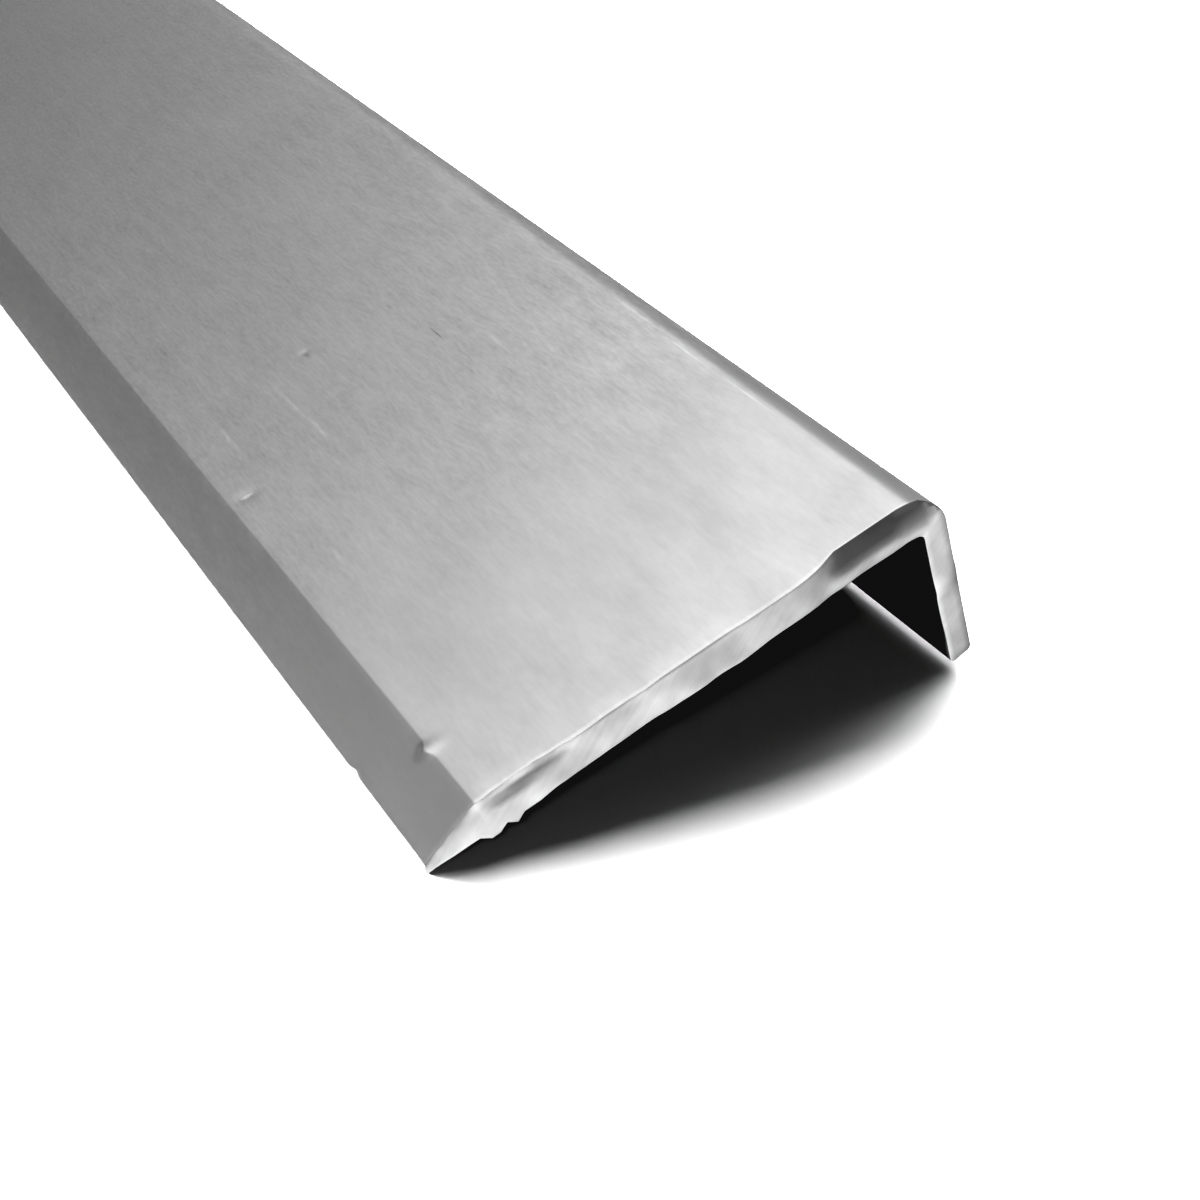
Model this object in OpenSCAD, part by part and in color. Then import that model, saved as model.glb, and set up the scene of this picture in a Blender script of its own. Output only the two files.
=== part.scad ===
// Aluminium edge profile: one extruded bar with a flat plate, a bevelled front edge
// and a square leg along the back. It lies on the nose of the bevel and the foot of the leg.
// X runs along the bar, Y runs across it from nose to leg, and Z is up.

/* [Stock] */
// Length of the bar along the extrusion
bar_length = 1000; // [200:10:3000]

/* [Plate] */
// Width of the plate, from the nose to the back of the leg
plate_w = 32; // [20:0.5:60]
// Thickness of the plate
plate_t = 2; // [1.5:0.1:3]

/* [Bevel] */
// Width of the bevelled front edge, measured across the plate
bevel_w = 3.6; // [2:0.1:6]
// Thickness left at the nose of the bevel
nose_t = 0.4; // [0.4:0.05:0.8]

/* [Leg] */
// Height of the leg, from the plate's top face to the foot
leg_h = 12; // [8:0.5:25]
// Thickness of the leg
leg_t = 1.5; // [1:0.1:3]

/* [Edges] */
// Radius over the outer corner of plate and leg
corner_r = 2; // [0.5:0.1:2.5]
// Radius of the fillet inside that corner
fillet_r = 0.4; // [0.2:0.1:1]
// Radius along both edges of the foot
foot_r = 0.3; // [0.1:0.05:0.45]
// Radius along the crease between bevel and plate
crease_r = 0.3; // [0.1:0.1:1]
// Radius along both edges of the nose
nose_r = 0.15; // [0.05:0.05:0.2]

/* [Hidden] */
$fn = 64;

// Corners of the section as the die cuts it, with the plate level: anticlockwise from the
// underside of the nose, as [across, up, edge radius], and the plate's top face at up = 0.
corners = [
    [0, -plate_t, nose_r],
    [plate_w - leg_t, -plate_t, fillet_r],
    [plate_w - leg_t, -leg_h, foot_r],
    [plate_w, -leg_h, foot_r],
    [plate_w, 0, corner_r],
    [bevel_w, 0, crease_r],
    [0, nose_t - plate_t, nose_r]
];
nose_corner = 0;
foot_corner = 2;
last = len(corners) - 1;

// Position, neighbours and edge radius of corner i
function spot(i) = [corners[i].x, corners[i].y];
function before(i) = spot(i == 0 ? last : i - 1);
function after(i) = spot(i == last ? 0 : i + 1);
function radius(i) = corners[i].z;

// Corner i sticks out of the section where the outline turns left
function sticks_out(i) = cross(spot(i) - before(i), after(i) - spot(i)) > 0;

function unit(v) = v / norm(v);
function towards_before(i) = unit(before(i) - spot(i));
function towards_after(i) = unit(after(i) - spot(i));
function half_angle(i) = acos(towards_before(i) * towards_after(i)) / 2;

// From corner i to where its rounding starts on the outline, and to the rounding's centre
function setback(i) = radius(i) / tan(half_angle(i));
function to_centre(i) = unit(towards_before(i) + towards_after(i)) * radius(i) / sin(half_angle(i));
function centre(i) = spot(i) + to_centre(i);

// The bar leans until nose and foot touch the floor together
nose_to_foot = centre(foot_corner) - centre(nose_corner);
rest_tilt = atan2(-nose_to_foot.y, nose_to_foot.x)
    + asin((radius(foot_corner) - radius(nose_corner)) / norm(nose_to_foot));

// Where a point of the level section lies once the bar leans
function leaning(p) = [
    p.x * cos(rest_tilt) - p.y * sin(rest_tilt),
    p.x * sin(rest_tilt) + p.y * cos(rest_tilt)
];

// Reach of the leaning section, from the rounded corners that stick out
outer = [for (i = [0 : last]) if (sticks_out(i)) i];
inner = [for (i = [0 : last]) if (!sticks_out(i)) i];
nose_side = min([for (i = outer) leaning(centre(i)).x - radius(i)]);
leg_side = max([for (i = outer) leaning(centre(i)).x + radius(i)]);
floor_level = min([for (i = outer) leaning(centre(i)).y - radius(i)]);

// The sliver between corner i and its rounding
module sliver(i) {
    translate(spot(i)) difference() {
        polygon([[0, 0], towards_before(i) * setback(i), towards_after(i) * setback(i)]);
        translate(to_centre(i)) circle(radius(i));
    }
}

// The outline with its inner corners filled and its outer corners rounded off
module section() {
    difference() {
        union() {
            polygon([for (i = [0 : last]) spot(i)]);
            for (i = inner) sliver(i);
        }
        for (i = outer) sliver(i);
    }
}

module profile() {
    color("silver")
        translate([0, -(nose_side + leg_side) / 2, -floor_level])
        rotate([rest_tilt, 0, 0])
        rotate([90, 0, 90])
        linear_extrude(bar_length, center = true)
            section();
}

profile();
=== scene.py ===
import math
import random

import bmesh
import bpy
from mathutils import Matrix, Vector


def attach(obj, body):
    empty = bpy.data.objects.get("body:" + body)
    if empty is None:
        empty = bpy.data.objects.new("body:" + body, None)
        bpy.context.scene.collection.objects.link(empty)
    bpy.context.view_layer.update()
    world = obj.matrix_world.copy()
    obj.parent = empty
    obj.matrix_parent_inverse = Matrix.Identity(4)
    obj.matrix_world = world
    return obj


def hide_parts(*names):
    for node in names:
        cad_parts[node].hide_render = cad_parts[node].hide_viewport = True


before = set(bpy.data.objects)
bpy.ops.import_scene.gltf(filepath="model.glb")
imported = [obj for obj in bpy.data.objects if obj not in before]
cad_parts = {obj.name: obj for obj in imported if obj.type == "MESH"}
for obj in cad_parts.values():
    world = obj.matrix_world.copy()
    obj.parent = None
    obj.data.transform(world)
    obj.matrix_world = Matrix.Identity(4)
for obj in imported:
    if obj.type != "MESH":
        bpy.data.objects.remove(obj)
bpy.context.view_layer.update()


def hexToLinear(code):  # "#rrggbb" in sRGB to linear RGBA
    parts = [int(code[i:i + 2], 16) / 255 for i in (1, 3, 5)]
    return [p / 12.92 if p <= 0.04045 else ((p + 0.055) / 1.055) ** 2.4 for p in parts] + [1.0]


def addNode(tree, kind, settings=None, links=None):  # one node, its settings and what feeds it
    node = tree.nodes.new(kind)
    for name, value in (settings or {}).items():
        if name == "stops":  # places and colours along a ramp
            while len(node.color_ramp.elements) < len(value):
                node.color_ramp.elements.new(1.0)
            for element, (place, colour) in zip(node.color_ramp.elements, value):
                element.position, element.color = place, colour
        elif isinstance(name, int) or name in node.inputs:
            node.inputs[name].default_value = value
        else:
            setattr(node, name, value)
    for name, source in (links or {}).items():
        tree.links.new(source, node.inputs[name])
    return node


def newMaterial(name):
    material = bpy.data.materials.new(name)
    material.use_nodes = True
    material.node_tree.nodes.clear()
    return material, material.node_tree


bar = {  # millimetres, plate level, top face at z = 0, nose at y = 0
    "length": 1000.0,
    "plateWidth": 32.0,
    "plateThick": 2.0,
    "bevelWidth": 3.6,
    "noseThick": 0.4,
    "legHeight": 12.0,
    "legThick": 1.5,
    "cornerRadius": 2.0,
    "filletRadius": 0.4,
    "footRadius": 0.3,
    "creaseRadius": 0.3,
    "noseTopRadius": 0.35,
    "noseUnderRadius": 0.15,
    "footClear": 0.16,  # the bar is a little bowed, so its foot lets light through
    "endSetback": 0.4,  # the sawn face, behind its burr
    "arrisRadius": 0.012,
    "leanDegrees": 18.0828,
    "shift": (-17.2923, 1.8614),  # across and up, to where the bar lies on nose and foot
    "smoothDegrees": 35.0,
    # cuts, close together where the saw and knocks left marks
    "cutsFromEnds": [0.3, 0.65, 1.0, 1.4, 1.9, 2.5, 3.4],
    "cutsByKnocks": [4.0, 4.3, 4.5, 4.7, 4.9, 5.1, 5.3, 5.5, 5.8, 6.4, 7.0, 7.4, 7.7, 8.0, 8.3, 8.6, 9.0, 10.0,
                     12.0, 15.0, 20.0, 25.0, 29.8, 30.3, 30.6, 30.8, 31.0, 31.2, 31.5, 32.0, 36.0,
                     40.2, 40.8, 41.0, 41.2, 41.4, 41.6, 42.2] + [48.0 + 8 * k for k in range(12)],
    "cutsAlong": [340.0 - 40 * k for k in range(21)],
    "cutsAcross": [0.55 + 0.5 * k for k in range(59)] + [13.45, 13.65, 13.85, 30.85, 31.2, 31.55],
    "cutsDown": [-0.2, -0.45, -0.8, -1.2, -1.55, -1.8] + [-2.8 - 0.7 * k for k in range(13)],
    "burrSeed": 7,
    "nearMarks": {  # the end in the photograph
        "slants": [(-1.0, 8.5, 0.16, 1.8), (10.0, 23.0, 0.1, 1.6)],  # from, to, forward, reach
        "rolls": [  # place across, half width, back, drop, reach
            (28.1, 2.9, 0.4, 0.0, 1.2), (27.3, 3.7, 0.12, 0.0, 1.3), (1.9, 1.5, 0.12, 0.0, 0.9),
            (6.0, 1.5, 0.11, 0.02, 0.85), (16.5, 2.2, 0.1, 0.03, 1.0), (11.8, 0.9, 0.09, 0.03, 0.9)],
        "burrs": [  # place across, half width, drop, forward, reach
            (3.85, 0.3, 0.42, 0.05, 0.6), (4.95, 0.35, 0.5, 0.05, 0.7), (6.3, 0.4, 0.16, 0.02, 0.9)],
        "smallBurrs": (8.0, 1.7, 13, (-0.05, 0.09), 0.08, 1.1),  # first, step, count, drops, most forward, reach
        "steps": [(24.4, 29.6, 0.1, 0.8)],  # from, to, back, reach
        "strokes": [  # from, to, height there, rise, half width, forward, reach
            (4.2, 8.6, -0.576, 0.13, 0.2, -0.1, 0.45), (30.7, 31.8, -6.475, 0.95, 0.4, 0.13, 0.8)],
        "askew": [(30.7, -9.3, 0.12, 1.6)],  # inner side of the foot: across, height, forward, reach
    },
    "farMarks": {
        "slants": [(6.0, 25.0, 0.15, 1.8)],
        "rolls": [(9.0, 3.0, 0.2, 0.05, 1.2), (21.0, 2.0, 0.12, 0.04, 0.9)],
        "burrs": [],
        "smallBurrs": (1.5, 1.9, 15, (-0.04, 0.14), 0.2, 1.0),
        "steps": [],
        "strokes": [],
        "askew": [],
    },
    "burrSpread": 0.6,  # small burrs stand this far off their even spacing
    "burrHalfWidth": 0.4,
    "knocks": [  # back from the near end, half length, across, half width, lowest point, push, reach
        (4.9, 0.11, 3.6, 0.3, -0.3, (0, -0.25, 0.06), 0.75),  # crease bent over
        (8.0, 0.2, 0.0, 0.12, -1.9, (0, 0.14, 0), 0.5),  # nick in the nose
        (31.0, 0.3, 4.75, 0.35, -0.05, (0, 0, -0.035), 0.4),  # gouge in the plate
        (41.2, 0.05, 13.65, 0.1, -0.05, (0, 0, -0.03), 0.4)],  # pit in the plate
}


def pick(kind, test):  # select by place in edit mode
    bpy.ops.mesh.select_mode(type=kind)
    bpy.ops.mesh.select_all(action="DESELECT")
    mesh = bmesh.from_edit_mesh(bpy.context.object.data)
    for item in {"VERT": mesh.verts, "EDGE": mesh.edges, "FACE": mesh.faces}[kind]:
        if test(item):
            item.select_set(True)
    mesh.select_flush_mode()
    bmesh.update_edit_mesh(bpy.context.object.data)


def near(a, b, gap=1e-3):
    return abs(a - b) < gap


def roundLong(y, z, radius, halfAngle, segments):  # round one long edge of the section
    pick("EDGE", lambda e: all(near(v.co.y, y) and near(v.co.z, z) for v in e.verts))
    bpy.ops.mesh.bevel(offset=radius / math.tan(halfAngle), segments=segments, profile=0.5, affect="EDGES")


def cutAt(axis, places):  # straight cuts through the whole piece
    normal = [1.0 if axis == k else 0.0 for k in range(3)]
    for place in places:
        bpy.ops.mesh.select_all(action="SELECT")
        bpy.ops.mesh.bisect(plane_co=[place * n for n in normal], plane_no=normal, threshold=1e-4)


def nudge(test, move, reach, falloff="SMOOTH"):  # push a few points, the rest follows
    pick("VERT", test)
    bpy.ops.transform.translate(value=move, use_proportional_edit=True, use_proportional_connected=True,
                                proportional_edit_falloff=falloff, proportional_size=reach)


def topAt(y):  # height of the section's upper side
    if y < bar["bevelWidth"]:
        return (y / bar["bevelWidth"] - 1) * (bar["plateThick"] - bar["noseThick"])
    past = max(0, y - bar["plateWidth"] + bar["cornerRadius"])
    return math.sqrt(max(0, bar["cornerRadius"] ** 2 - past ** 2)) - bar["cornerRadius"]


def dressEnd(endX, out, marks, rng):  # what the saw left; out is +1 or -1 along the bar
    edge, under = 1.5 * bar["arrisRadius"], -bar["plateThick"]  # just past the arris, and the plate's underside
    mesh = bmesh.from_edit_mesh(bpy.context.object.data)
    mesh.verts.index_update()
    rim = {v.index for v in mesh.verts if (endX - v.co.x) * out < edge}
    topRim = {v.index for v in mesh.verts if v.index in rim and v.co.z > topAt(v.co.y) - edge}
    first, step, count, drops, forwardMost, burrReach = marks["smallBurrs"]
    spread, width = bar["burrSpread"], bar["burrHalfWidth"]
    smallBurrs = [(first + step * k + rng.uniform(-spread, spread), width, rng.uniform(*drops),
                   rng.uniform(0, forwardMost), burrReach) for k in range(count)]

    def onPlate(v):  # on the sawn face, not far down the leg
        return v.index in rim and v.co.z > 2 * under

    for low, high, forward, reach in marks["slants"]:  # lower rim standing out
        nudge(lambda v: onPlate(v) and v.co.z < under + edge and low < v.co.y < high,
              (out * forward, 0, 0), reach, "LINEAR")
    for place, half, back, drop, reach in marks["rolls"]:  # top arris leaning back from the cut
        nudge(lambda v: v.index in topRim and abs(v.co.y - place) < half,
              (-out * back, 0, -drop), reach, "LINEAR")
    for place, half, drop, forward, reach in marks["burrs"] + smallBurrs:  # ragged lower rim
        nudge(lambda v: v.index in rim and under - 2 * edge < v.co.z < under + edge
              and abs(v.co.y - place) < half, (out * forward, 0, -drop), reach)
    for low, high, back, reach in marks["steps"]:  # cut a little deeper
        nudge(lambda v: onPlate(v) and low < v.co.y < high, (-out * back, 0, 0), reach, "LINEAR")
    for low, high, height, rise, half, forward, reach in marks["strokes"]:  # slanting groove or ridge
        nudge(lambda v: v.index in rim and low < v.co.y < high
              and abs(v.co.z - height - rise * (v.co.y - low)) < half, (out * forward, 0, 0), reach, "LINEAR")
    for across, height, forward, reach in marks["askew"]:  # foot not quite square
        nudge(lambda v: v.index in rim and v.co.y < across and v.co.z < height,
              (out * forward, 0, 0), reach, "LINEAR")


def buildBar():
    w, t, half = bar["plateWidth"], bar["plateThick"], bar["length"] / 2
    legFace, foot = w - bar["legThick"], -bar["legHeight"] + bar["footClear"]
    nearX, farX = half - bar["endSetback"], -half + bar["endSetback"]
    bpy.ops.object.select_all(action="DESELECT")
    bpy.ops.mesh.primitive_cube_add(size=1)
    piece = bpy.context.object
    piece.name = "extrudedBar"
    piece.scale = (nearX - farX, w, t)
    piece.location = (0, w / 2, -t / 2)
    bpy.ops.object.transform_apply(location=True, rotation=True, scale=True)
    bpy.ops.object.mode_set(mode="EDIT")

    # section: crease and leg lines, leg drawn down, nose dropped to its land
    cutAt(1, [bar["bevelWidth"], legFace])
    pick("FACE", lambda f: f.normal.z < -0.9 and f.calc_center_median().y > legFace)
    bpy.ops.mesh.extrude_region_move(TRANSFORM_OT_translate={"value": (0, 0, foot + t)})
    seams = [{(legFace, 0)}, {(legFace, 0), (legFace, -t)}, {(w, -t)}, {(legFace, -t), (w, -t)}]
    pick("EDGE", lambda e: {(round(v.co.y, 3), round(v.co.z, 3)) for v in e.verts} in seams)
    bpy.ops.mesh.dissolve_edges()
    pick("VERT", lambda v: near(v.co.y, 0) and near(v.co.z, 0))
    bpy.ops.transform.translate(value=(0, 0, bar["noseThick"] - t))
    slope = math.atan2(t - bar["noseThick"], bar["bevelWidth"])

    # rounded long edges
    square = math.pi / 4  # half a right angle
    roundLong(w, 0, bar["cornerRadius"], square, segments=14)
    roundLong(legFace, -t, bar["filletRadius"], square, segments=4)
    roundLong(legFace, foot, bar["footRadius"], square, segments=4)
    roundLong(w, foot, bar["footRadius"], square, segments=4)
    roundLong(bar["bevelWidth"], 0, bar["creaseRadius"], (math.pi - slope) / 2, segments=3)
    roundLong(0, bar["noseThick"] - t, bar["noseTopRadius"], (math.pi / 2 + slope) / 2, segments=5)
    roundLong(0, -t, bar["noseUnderRadius"], square, segments=3)
    for endX in (nearX, farX):  # arris round both sawn faces
        pick("EDGE", lambda e: all(near(v.co.x, endX) for v in e.verts))
        bpy.ops.mesh.bevel(offset=bar["arrisRadius"], segments=2, profile=0.5, affect="EDGES")
    print("section drawn")

    cutAt(0, [nearX - back for back in bar["cutsFromEnds"] + bar["cutsByKnocks"]])
    cutAt(0, [farX + back for back in bar["cutsFromEnds"]])
    cutAt(0, bar["cutsAlong"])
    cutAt(1, bar["cutsAcross"])
    cutAt(2, bar["cutsDown"])
    print("cuts made")

    rng = random.Random(bar["burrSeed"])
    dressEnd(nearX, 1, bar["nearMarks"], rng)
    dressEnd(farX, -1, bar["farMarks"], rng)
    for back, halfLength, across, halfWidth, lowest, push, reach in bar["knocks"]:
        nudge(lambda v: near(v.co.x, nearX - back, halfLength) and near(v.co.y, across, halfWidth)
              and v.co.z > lowest, push, reach)
    bpy.ops.object.mode_set(mode="OBJECT")

    # lean it on nose and foot, in metres, where the CAD bar lies
    piece.rotation_euler = (math.radians(bar["leanDegrees"]), 0, 0)
    piece.scale = (0.001, 0.001, 0.001)
    piece.location = (0, bar["shift"][0] / 1000, bar["shift"][1] / 1000)
    bpy.ops.object.transform_apply(location=True, rotation=True, scale=True)
    bpy.ops.object.shade_smooth_by_angle(angle=math.radians(bar["smoothDegrees"]))
    print("bar shaped,", len(piece.data.polygons), "faces")
    return piece


barPiece = buildBar()
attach(barPiece, "root")
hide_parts("profile")

mill = {
    "tones": [  # pit, dull, pale, fresh scratch
        (0.0, "#9c9c9c"), (0.3, "#cdcdcd"), (0.7, "#e1e1e1"), (1.0, "#f8f8f8")],
    "roughness": (0.32, 0.42),  # pale, dull
    "lineMm": (0.8, 0.22),  # length and width of the die lines, coarser than the real ones so that they show
    "streakMm": (3.2, 0.7),
    "cloudMm": (9.0, 5.0),
    "detail": {"lineMm": 2.0, "streakMm": 2.0, "cloudMm": 3.0},
    "streakShare": 0.5,
    "cloudShare": 0.42,
    "lineDepthMm": 0.001,
    "lineFade": (-26.0, -12.0, 1.75, 0.5),  # from, to, strength before and after: fainter by the near end
    "bevelCalm": 0.45,  # the bevel is less mottled than the plate
    "calmEdgeMm": (-0.3, 0.1),  # either side of the crease
    "scratchTallMm": 8.0,
    "scratchesAndPaintedHighlight": [  # scratches and a painted highlight: from the near end, from the nose, length, width, paler or darker; the last three, at about 30 mm across, paint the highlight line where the back edge starts to round
        (-40.8, 13.6, 1.5, 0.45, -0.4), (-40.8, 19.85, 1.3, 0.3, -0.34), (-35.3, 20.6, 2.6, 0.16, -0.4),
        (-31.6, 20.75, 3.6, 0.13, -0.26), (-37.5, 10.6, 7.0, 0.4, 0.26), (-33.0, 10.8, 4.2, 0.45, 0.36),
        (-37.0, 6.2, 6.0, 0.4, 0.33), (-36.6, 14.2, 2.5, 0.5, 0.3), (-31.5, 22.8, 3.6, 0.45, 0.3),
        (-21.5, 6.5, 2.8, 0.5, 0.26), (-31.0, 4.75, 0.42, 1.0, 0.9), (-26.0, 30.1, 7.0, 0.22, 0.25),
        (-20.5, 29.95, 5.0, 0.16, 0.3), (-14.5, 30.0, 6.0, 0.2, 0.25)],
}


def millFinish():  # aluminium as it leaves the die: satin grey, mottled along its length, lightly scratched, with a painted highlight line where the back edge starts to round
    material, tree = newMaterial("millFinishAluminium")
    coords = addNode(tree, "ShaderNodeTexCoord")
    lean, (shiftY, shiftZ) = math.radians(bar["leanDegrees"]), bar["shift"]
    corner = [bar["endSetback"] - bar["length"] / 2, -shiftY * math.cos(lean) - shiftZ * math.sin(lean),
              shiftY * math.sin(lean) - shiftZ * math.cos(lean)]
    flat = addNode(tree, "ShaderNodeMapping",  # millimetres from the near end, from the nose and above the plate
                   {"Scale": [1000, 1000, 1000], "Rotation": [-lean, 0, 0], "Location": corner},
                   {"Vector": coords.outputs["Object"]})
    spot = addNode(tree, "ShaderNodeSeparateXYZ", None, {0: flat.outputs[0]})
    layers = {}
    for name, detail in mill["detail"].items():
        along, across = mill[name]
        stretched = addNode(tree, "ShaderNodeMapping", {"Scale": [1 / along, 1 / across, 1 / across]},
                            {"Vector": flat.outputs[0]})
        layers[name] = addNode(tree, "ShaderNodeTexNoise", {"Scale": 1.0, "Detail": detail},
                               {"Vector": stretched.outputs[0]})

    # lines and streaks, fainter by the near end, then clouds, calmer on the bevel
    fadeFrom, fadeTo, strong, faint = mill["lineFade"]
    fade = addNode(tree, "ShaderNodeMapRange", {1: fadeFrom, 2: fadeTo, 3: strong, 4: faint},
                   {0: spot.outputs["X"]})
    lines = addNode(tree, "ShaderNodeMix", {"data_type": "FLOAT", 0: mill["streakShare"]},
                    {2: layers["lineMm"].outputs[0], 3: layers["streakMm"].outputs[0]})
    lines = addNode(tree, "ShaderNodeMath", {"operation": "SUBTRACT", 1: 0.5}, {0: lines.outputs[0]})
    lines = addNode(tree, "ShaderNodeMath", {"operation": "MULTIPLY_ADD", 2: 0.5},
                    {0: lines.outputs[0], 1: fade.outputs[0]})
    tone = addNode(tree, "ShaderNodeMix", {"data_type": "FLOAT", 0: mill["cloudShare"]},
                   {2: lines.outputs[0], 3: layers["cloudMm"].outputs[0]})
    calmFrom, calmTo = [bar["bevelWidth"] + side for side in mill["calmEdgeMm"]]
    calm = addNode(tree, "ShaderNodeMapRange", {1: calmFrom, 2: calmTo, 3: mill["bevelCalm"], 4: 1.0},
                   {0: spot.outputs["Y"]})
    tone = addNode(tree, "ShaderNodeMath", {"operation": "SUBTRACT", 1: 0.5}, {0: tone.outputs[0]})
    tone = addNode(tree, "ShaderNodeMath", {"operation": "MULTIPLY_ADD", 2: 0.5},
                   {0: tone.outputs[0], 1: calm.outputs[0]})
    # scratches, and a painted highlight line along the start of the back rounding, as paler or darker spots
    for along, across, length, width, amount in mill["scratchesAndPaintedHighlight"]:
        grow = [2 / length, 2 / width, 2 / mill["scratchTallMm"]]
        place = addNode(tree, "ShaderNodeMapping",
                        {"Scale": grow, "Location": [-along * grow[0], -across * grow[1], 0]},
                        {"Vector": flat.outputs[0]})
        away = addNode(tree, "ShaderNodeVectorMath", {"operation": "LENGTH"}, {0: place.outputs[0]})
        mark = addNode(tree, "ShaderNodeMapRange", {1: 0.0, 2: 1.0, 3: amount, 4: 0.0}, {0: away.outputs["Value"]})
        tone = addNode(tree, "ShaderNodeMath", {"operation": "ADD"}, {0: tone.outputs[0], 1: mark.outputs[0]})

    ramp = addNode(tree, "ShaderNodeValToRGB", {"stops": [(at, hexToLinear(code)) for at, code in mill["tones"]]},
                   {"Fac": tone.outputs[0]})
    dullAt, paleAt = [at for at, code in mill["tones"][1:3]]
    smooth, coarse = mill["roughness"]
    rough = addNode(tree, "ShaderNodeMapRange", {1: dullAt, 2: paleAt, 3: coarse, 4: smooth}, {0: tone.outputs[0]})
    bump = addNode(tree, "ShaderNodeBump", {"Strength": 1.0, "Distance": mill["lineDepthMm"] / 1000},
                   {"Height": lines.outputs[0]})
    shader = addNode(tree, "ShaderNodeBsdfPrincipled", {"Metallic": 1.0},
                     {"Base Color": ramp.outputs[0], "Roughness": rough.outputs[0], "Normal": bump.outputs[0]})
    addNode(tree, "ShaderNodeOutputMaterial", None, {"Surface": shader.outputs[0]})
    return material


sawn = {
    "tones": [(0.3, "#c8c8c8"), (0.7, "#d8d8d8")],
    "roughness": (0.4, 0.5),  # pale, dull
    "facing": 0.6,  # faces that look along the bar at least this much are sawn
    "toothMm": (5.0, 0.22),  # length and width of the saw marks
    "slantDegrees": 38.0,
    "cloudMm": 1000 / 420,
    "cloudShare": 0.75,
    "detail": (2.0, 3.0),  # saw marks, clouds
    "toothDepthMm": 0.0015,
}


def sawnEnd():  # fresh cut face: paler, rougher metal with faint slanting saw marks
    material, tree = newMaterial("sawnAluminium")
    coords = addNode(tree, "ShaderNodeTexCoord")
    turned = addNode(tree, "ShaderNodeMapping", {"Rotation": [math.radians(sawn["slantDegrees"]), 0, 0]},
                     {"Vector": coords.outputs["Object"]})
    long, wide = [1000 / size for size in sawn["toothMm"]]
    toothDetail, cloudDetail = sawn["detail"]
    stretched = addNode(tree, "ShaderNodeMapping", {"Scale": [long, wide, long]}, {"Vector": turned.outputs[0]})
    teeth = addNode(tree, "ShaderNodeTexNoise", {"Scale": 1.0, "Detail": toothDetail},
                    {"Vector": stretched.outputs[0]})
    cloud = addNode(tree, "ShaderNodeTexNoise", {"Scale": 1000 / sawn["cloudMm"], "Detail": cloudDetail},
                    {"Vector": coords.outputs["Object"]})
    tone = addNode(tree, "ShaderNodeMix", {"data_type": "FLOAT", 0: sawn["cloudShare"]},
                   {2: teeth.outputs[0], 3: cloud.outputs[0]})
    ramp = addNode(tree, "ShaderNodeValToRGB", {"stops": [(at, hexToLinear(code)) for at, code in sawn["tones"]]},
                   {"Fac": tone.outputs[0]})
    dullAt, paleAt = [at for at, code in sawn["tones"]]
    smooth, coarse = sawn["roughness"]
    rough = addNode(tree, "ShaderNodeMapRange", {1: dullAt, 2: paleAt, 3: coarse, 4: smooth}, {0: tone.outputs[0]})
    bump = addNode(tree, "ShaderNodeBump", {"Strength": 1.0, "Distance": sawn["toothDepthMm"] / 1000},
                   {"Height": tone.outputs[0]})
    shader = addNode(tree, "ShaderNodeBsdfPrincipled", {"Metallic": 1.0},
                     {"Base Color": ramp.outputs[0], "Roughness": rough.outputs[0], "Normal": bump.outputs[0]})
    addNode(tree, "ShaderNodeOutputMaterial", None, {"Surface": shader.outputs[0]})
    return material


barPiece.data.materials.clear()
barPiece.data.materials.append(millFinish())
barPiece.data.materials.append(sawnEnd())
for face in barPiece.data.polygons:
    face.material_index = 1 if abs(face.normal.x) > sawn["facing"] else 0
print("materials on")

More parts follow.
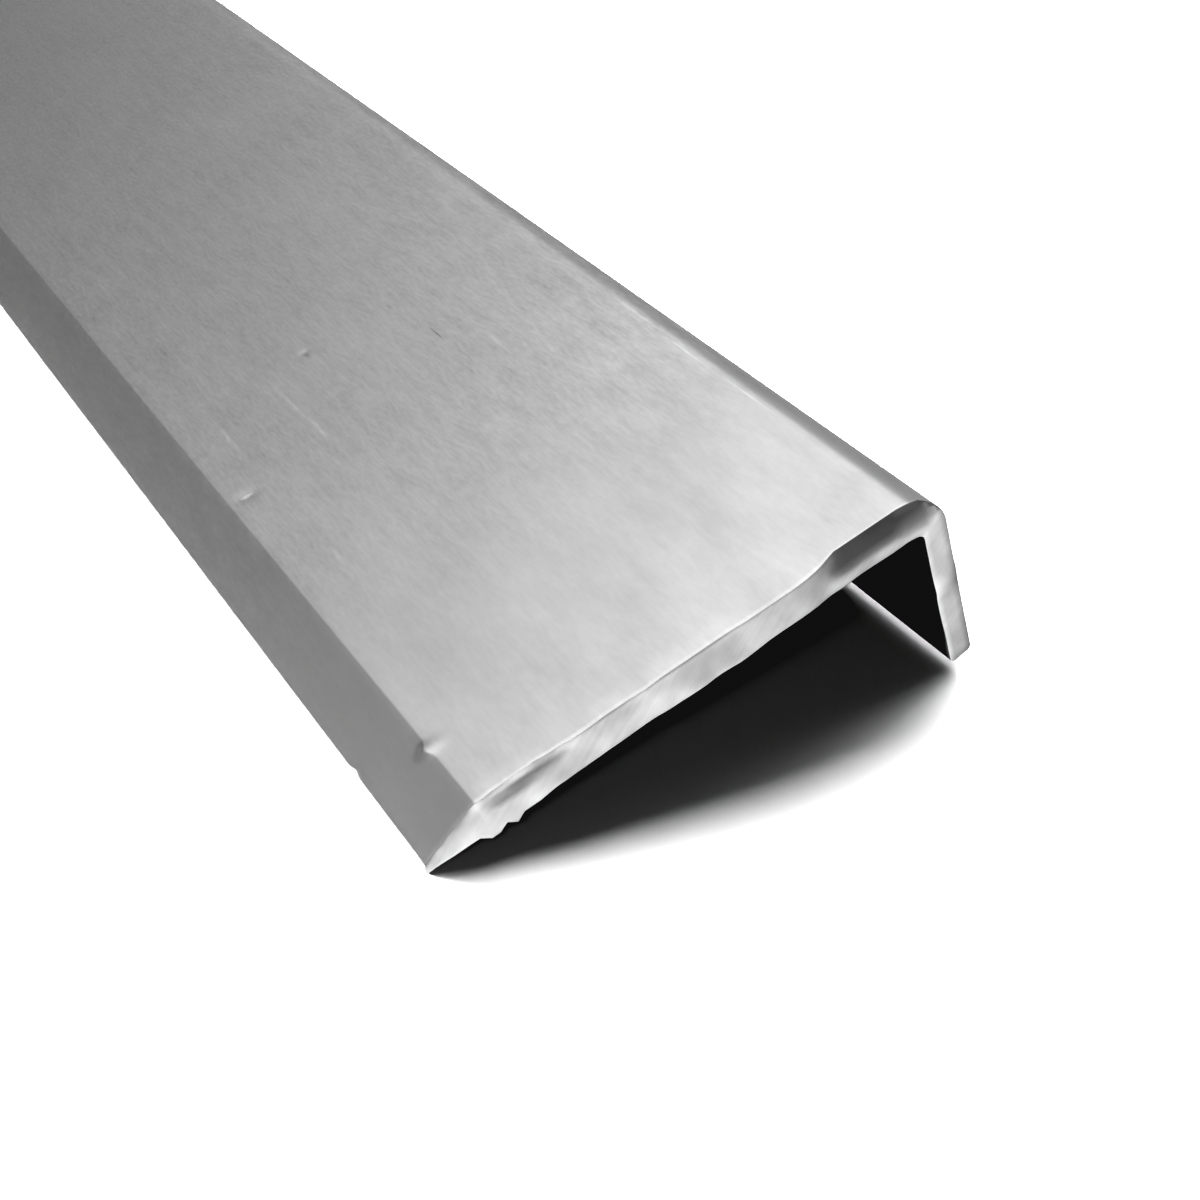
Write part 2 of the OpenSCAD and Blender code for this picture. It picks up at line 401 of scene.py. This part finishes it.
stage = {  # metres; in the room, heights and turns are parts of a unit direction
    "floor": "#f2f2f2",
    "floorSize": 60.0,
    "floorRoughness": 0.9,
    "grainMm": 10 / 3,
    "grainDetail": 2.0,
    "grainDepthMm": 0.1,
    "grainStrength": 0.05,
    "lampReach": (0.8, 1.5),  # where the board begins to glow by itself, past the lamps
    "backdrop": 1.05,
    "skin": 0.000006,  # lifts the part of the floor that shows in the metal off the board
    "metalSees": ((-0.5, -0.0205), (0.4996, 0.0135)),
    "stripFrom": (-0.86, -0.15, 1.6),  # long strip lamp across the bar, seen from its near end
    "stripTo": (-0.5, 2.3, 0.6),
    "stripWidth": 0.7,
    "stripPower": 100.0,
    "panels": {  # place from the near end, size, power
        "lowPanel": ((-0.97, 0.654, 0.175), (0.5, 0.19), 80.0),  # lights the floor under the foot
        "nosePanel": ((-0.9, -0.56, 0.1), (0.5, 0.12), 210.0),  # lights the floor along the nose
        "fillPanel": ((0.19, -0.135, 0.19), (0.1, 0.1), 0.2),  # by the camera, lifts the shadow a little
    },
    "roomByHeight": [(0.0, 0.30), (0.24, 0.17), (0.31, 0.40), (0.37, 0.50), (0.44, 0.46), (0.53, 0.68),
                     (0.6, 0.63), (0.655, 0.57), (0.7, 0.66), (0.75, 1.52), (0.85, 1.66), (1.0, 1.3)],
    "roomNearEnd": 0.5,  # dimmer overhead and towards the near end
    "roomNearEndTurn": (-0.3, 0.0),
    "roomNoseSide": 0.34,  # brighter low down on the nose's side
    "roomLegSide": [  # and high up on the leg's side
        (0.36, 0.6), (0.44, 0.5), (0.56, 0.78), (0.65, 2.95), (0.75, 2.0)],
    "legWall": (0.66, 1.0),  # a wall beyond the leg's back, grey towards the far end
    "legWallTurn": (-0.3, 0.1),
    "legWallFrom": (0.29, 0.37),
    "legWallAside": 0.45,  # it stands back where it would show in the near end
    "legWallFoot": (-0.05, 0.1),
    "legWallFarEnd": -0.3,
    "floorGlow": (0.0, 1.95),  # how the floor shows in the metal, from behind the bar to in front of it
    "floorGlowWay": (0.86, -0.5, 0.0),
    "floorGlowTurn": (-0.3, 0.44),
    "floorGlowLegSide": 0.1,
    "floorGlowFrom": -0.25,
    "darkWay": (0.94, 0.32, 0.08),  # a dark screen in front of the near end
    "darkTurn": (0.86, 0.955),
    "darkLevel": 0.15,
    "blackLevel": 0.1,
    "contrast": 1.5,
    "deepest": 0.005,
}


def mattBoard():  # plain matt white board
    material, tree = newMaterial("mattWhiteBoard")
    coords = addNode(tree, "ShaderNodeTexCoord")
    grain = addNode(tree, "ShaderNodeTexNoise", {"Scale": 1000 / stage["grainMm"], "Detail": stage["grainDetail"]},
                    {"Vector": coords.outputs["Object"]})
    bump = addNode(tree, "ShaderNodeBump",
                   {"Strength": stage["grainStrength"], "Distance": stage["grainDepthMm"] / 1000},
                   {"Height": grain.outputs[0]})
    away = addNode(tree, "ShaderNodeVectorMath", {"operation": "LENGTH"}, {0: coords.outputs["Object"]})
    glowFrom, glowTo = stage["lampReach"]
    lampless = addNode(tree, "ShaderNodeMapRange", {1: glowFrom, 2: glowTo, 3: 0.0, 4: stage["backdrop"]},
                       {0: away.outputs["Value"]})
    shader = addNode(tree, "ShaderNodeBsdfPrincipled",
                     {"Base Color": hexToLinear(stage["floor"]), "Roughness": stage["floorRoughness"],
                      "Emission Color": (1, 1, 1, 1)},
                     {"Normal": bump.outputs[0], "Emission Strength": lampless.outputs[0]})
    addNode(tree, "ShaderNodeOutputMaterial", None, {"Surface": shader.outputs[0]})
    return material


bpy.ops.object.select_all(action="DESELECT")
bpy.ops.mesh.primitive_plane_add(size=stage["floorSize"])
floor = bpy.context.object
floor.name = "floorBoard"
floor.data.materials.append(mattBoard())
floor.visible_glossy = False  # the metal sees the room's own glow instead

(x0, y0), (x1, y1) = stage["metalSees"]
bpy.ops.mesh.primitive_plane_add(size=1, location=((x0 + x1) / 2, (y0 + y1) / 2, stage["skin"]))
floorInMetal = bpy.context.object
floorInMetal.name = "floorInMetal"
floorInMetal.scale = (x1 - x0, y1 - y0, 1)
bpy.ops.object.transform_apply(location=True, rotation=True, scale=True)
floorInMetal.data.materials.append(floor.data.materials[0])
floorInMetal.visible_camera = floorInMetal.visible_diffuse = floorInMetal.visible_shadow = False

world = bpy.data.worlds.new("softRoom")
bpy.context.scene.world = world
world.use_nodes = True
world.cycles_visibility.diffuse = False  # the panels light the floor, the room only shows in the metal
sky = world.node_tree
sky.nodes.clear()
way = addNode(sky, "ShaderNodeTexCoord").outputs["Generated"]
split = addNode(sky, "ShaderNodeSeparateXYZ", None, {0: way})
wayX, wayY, wayZ = split.outputs

# the room above the floor
glow, legSide = [
    addNode(sky, "ShaderNodeValToRGB", {"stops": [(z, (lit, lit, lit, 1)) for z, lit in stage[name]]},
            {"Fac": wayZ}) for name in ("roomByHeight", "roomLegSide")]
noseSide = addNode(sky, "ShaderNodeMapRange", {1: -1.0, 2: 0.0, 3: stage["roomNoseSide"], 4: 0.0}, {0: wayY})
towardsLeg = addNode(sky, "ShaderNodeMapRange", None, {0: wayY})
upper = addNode(sky, "ShaderNodeMath", {"operation": "MULTIPLY_ADD"},
                {0: legSide.outputs[0], 1: towardsLeg.outputs[0], 2: glow.outputs[0]})
upper = addNode(sky, "ShaderNodeMath", {"operation": "ADD"}, {0: upper.outputs[0], 1: noseSide.outputs[0]})
dimFrom, dimTo = stage["roomNearEndTurn"]
dimmer = addNode(sky, "ShaderNodeMapRange", {1: dimFrom, 2: dimTo, 3: 1.0, 4: stage["roomNearEnd"]}, {0: wayX})
upper = addNode(sky, "ShaderNodeMath", {"operation": "MULTIPLY"}, {0: upper.outputs[0], 1: dimmer.outputs[0]})

# the floor's glow below it
ahead = addNode(sky, "ShaderNodeVectorMath", {"operation": "DOT_PRODUCT", 1: stage["floorGlowWay"]}, {0: way})
(turnFrom, turnTo), (glowBehind, glowAhead) = stage["floorGlowTurn"], stage["floorGlow"]
lower = addNode(sky, "ShaderNodeMapRange", {1: turnFrom, 2: turnTo, 3: glowBehind, 4: glowAhead},
                {0: ahead.outputs["Value"]})
beyond = addNode(sky, "ShaderNodeMapRange", {1: 0.0, 2: 1.0, 3: 0.0, 4: stage["floorGlowLegSide"]}, {0: wayY})
lower = addNode(sky, "ShaderNodeMath", {"operation": "ADD"}, {0: lower.outputs[0], 1: beyond.outputs[0]})
below = addNode(sky, "ShaderNodeMapRange", {1: 0.0, 2: stage["floorGlowFrom"], 3: 0.0, 4: 1.0}, {0: wayZ})
level = addNode(sky, "ShaderNodeMix", {"data_type": "FLOAT"},
                {0: below.outputs[0], 2: upper.outputs[0], 3: lower.outputs[0]})

# the wall beyond the leg and the dark screen
standBack = addNode(sky, "ShaderNodeMapRange", {1: 0.0, 2: 1.0, 3: 0.0, 4: stage["legWallAside"]}, {0: wayX})
aside = addNode(sky, "ShaderNodeMath", {"operation": "SUBTRACT"}, {0: wayY, 1: standBack.outputs[0]})
wallFrom, wallTo = stage["legWallFrom"]
beyondLeg = addNode(sky, "ShaderNodeMapRange", {1: wallFrom, 2: wallTo}, {0: aside.outputs[0]})
backward = addNode(sky, "ShaderNodeMapRange", {1: 0.0, 2: stage["legWallFarEnd"]}, {0: wayX})
footFrom, footTo = stage["legWallFoot"]
above = addNode(sky, "ShaderNodeMapRange", {1: footFrom, 2: footTo}, {0: wayZ})
wall = addNode(sky, "ShaderNodeMath", {"operation": "MAXIMUM"}, {0: above.outputs[0], 1: backward.outputs[0]})
wall = addNode(sky, "ShaderNodeMath", {"operation": "MULTIPLY"}, {0: beyondLeg.outputs[0], 1: wall.outputs[0]})
(turnFrom, turnTo), (wallFar, wallNear) = stage["legWallTurn"], stage["legWall"]
wallLevel = addNode(sky, "ShaderNodeMapRange", {1: turnFrom, 2: turnTo, 3: wallFar, 4: wallNear}, {0: wayX})
level = addNode(sky, "ShaderNodeMix", {"data_type": "FLOAT"},
                {0: wall.outputs[0], 2: level.outputs[0], 3: wallLevel.outputs[0]})
facing = addNode(sky, "ShaderNodeVectorMath", {"operation": "DOT_PRODUCT", 1: stage["darkWay"]}, {0: way})
darkFrom, darkTo = stage["darkTurn"]
dark = addNode(sky, "ShaderNodeMapRange", {1: darkFrom, 2: darkTo, 3: 1.0, 4: stage["darkLevel"]},
               {0: facing.outputs["Value"]})
strength = addNode(sky, "ShaderNodeMath", {"operation": "MULTIPLY"}, {0: level.outputs[0], 1: dark.outputs[0]})
path = addNode(sky, "ShaderNodeLightPath")  # plain white behind everything
strength = addNode(sky, "ShaderNodeMix", {"data_type": "FLOAT", 3: stage["backdrop"]},
                   {0: path.outputs["Is Camera Ray"], 2: strength.outputs[0]})
shade = addNode(sky, "ShaderNodeBackground", {"Color": (1, 1, 1, 1)}, {"Strength": strength.outputs[0]})
addNode(sky, "ShaderNodeOutputWorld", None, {"Surface": shade.outputs[0]})


def addPanel(name, place, alongWay, size, power):  # place from the near end, long side along a given way
    bpy.ops.object.light_add(type="AREA", location=Vector((bar["length"] / 2000, 0, 0)) + place)
    panel = bpy.context.object
    panel.name = name
    panel.data.shape = "RECTANGLE"
    panel.data.size, panel.data.size_y = size
    panel.data.energy = power
    backAxis = place.normalized()
    sideAxis = alongWay.cross(backAxis).normalized()
    panel.rotation_euler = Matrix((sideAxis, backAxis.cross(sideAxis), backAxis)).transposed().to_euler()
    panel.visible_glossy = False
    panel.data.cycles.use_multiple_importance_sampling = False  # keeps the bar's shadow whole


stripFrom, stripTo = Vector(stage["stripFrom"]), Vector(stage["stripTo"])
stripWay = stripTo - stripFrom
addPanel("stripLamp", (stripFrom + stripTo) / 2, stripWay, (stage["stripWidth"], stripWay.length),
         stage["stripPower"])
for name, (place, size, power) in stage["panels"].items():
    addPanel(name, Vector(place), Vector((0, 0, 1)), size, power)
barPiece.visible_diffuse = False  # no glow from the metal into its own shadow

view = {  # found by fitting the photograph's edges
    "focalPx": 1822.2,
    "pictureWidthPx": 1200,
    "sensorMm": 36.0,
    "yaw": 148.93,
    "pitch": 34.863,
    "place": (0.4996 + 0.05867, -0.04237, 0.05998),  # metres, the first from the sawn face
    "clipStart": 0.002,
}
bpy.ops.object.camera_add(location=view["place"])
camera = bpy.context.object
yaw, pitch = math.radians(view["yaw"]), math.radians(view["pitch"])
aim = Vector((math.cos(pitch) * math.cos(yaw), math.cos(pitch) * math.sin(yaw), -math.sin(pitch)))
camera.rotation_euler = aim.to_track_quat("-Z", "Y").to_euler()
camera.data.sensor_width = view["sensorMm"]
camera.data.lens = view["sensorMm"] * view["focalPx"] / view["pictureWidthPx"]
camera.data.clip_start = view["clipStart"]
bpy.context.scene.camera = camera

look = bpy.context.scene.view_settings
look.view_transform = "Standard"
look.use_curve_mapping = True
look.curve_mapping.extend = "HORIZONTAL"
look.curve_mapping.black_level = [stage["blackLevel"]] * 3
curve = look.curve_mapping.curves[3]
curve.points[0].location = (0.0, stage["deepest"])
for tone in (0.25, 0.5, 0.75):
    curve.points.new(tone, tone ** stage["contrast"])
look.curve_mapping.update()
print("stage set")
